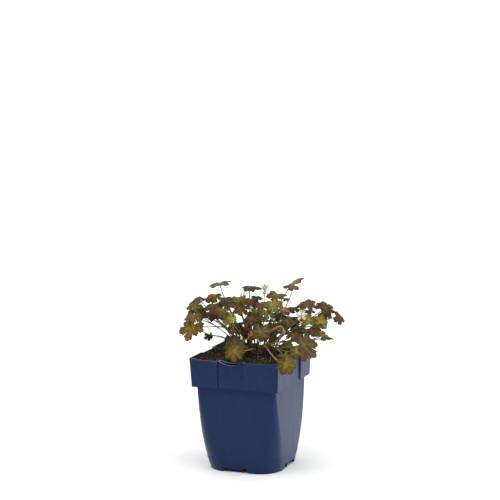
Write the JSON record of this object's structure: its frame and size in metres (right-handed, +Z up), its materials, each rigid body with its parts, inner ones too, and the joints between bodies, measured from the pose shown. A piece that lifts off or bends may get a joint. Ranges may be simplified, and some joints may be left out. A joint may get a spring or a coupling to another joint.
{
  "type": "potted hardy geranium",
  "caption": "Small bronze-leaved hardy geranium with white flowers, growing in compost in a square tapered nursery pot with a deep rim.",
  "frame": {"origin": "centre of the underside of the pot, on the flat round boss that rests on the ground with the pot's feet", "axes": "+Z up along the pot's axis, -Y out of the pot's front side with the label slot, +X to the pot's right"},
  "size_m": [0.1832, 0.1597, 0.2226],
  "materials": {
    "pot": "satin",
    "compost": "matte",
    "leaf": "satin",
    "leaf_bright": "satin",
    "leaf_withered": "matte",
    "petal": "matte",
    "stalk": "satin",
    "seed_head": "matte"
  },
  "bodies": {
    "root": {"pot": "pot", "compost": "compost", "shoot_drooping": "leaf", "shoot_withered": "leaf_withered", "shoot_over_rim": "leaf", "shoot_over_rim_upper": "leaf", "shoot_low_right": "leaf", "shoot_big_left": "leaf", "bloom_1_petals": "petal", "bloom_1_stalk": "stalk", "bloom_2_petals": "petal", "bloom_2_stalk": "stalk", "seed_head": "seed_head", "shoot_butterfly": "leaf", "shoot_flat_top": "leaf", "shoot_top_right": "leaf", "shoot_green_top": "leaf", "shoot_brown_top": "leaf", "shoot_right_dome": "leaf", "shoot_right_slope": "leaf", "shoot_right_tip": "leaf", "shoot_right_olive": "leaf", "shoot_right_green": "leaf", "shoot_right_low": "leaf", "shoot_low_centre": "leaf", "shoot_front_upper": "leaf", "shoot_front_lower": "leaf", "shoot_gold_left": "leaf", "shoot_grey_left": "leaf", "shoot_olive_left": "leaf", "shoot_dark_left": "leaf", "shoot_mass_left": "leaf", "shoot_mass_mid": "leaf", "shoot_dark_olive": "leaf", "shoot_dark_green": "leaf", "shoot_brown_mid": "leaf", "shoot_bright": "leaf_bright", "shoot_gold_mid": "leaf", "shoot_brown_inner": "leaf", "shoot_dark_top": "leaf", "shoot_red_brown": "leaf", "shoot_big_olive": "leaf", "shoot_olive_inner": "leaf", "shoot_red_centre": "leaf", "shoot_dark_right": "leaf", "shoot_inner_a": "leaf", "shoot_inner_b": "leaf", "shoot_low_back": "leaf", "shoot_far_back": "leaf", "shoot_back_1": "leaf", "shoot_back_2": "leaf", "shoot_back_3": "leaf", "shoot_back_4": "leaf", "shoot_back_5": "leaf", "shoot_back_6": "leaf", "shoot_back_7": "leaf"}
  },
  "joints": []
}
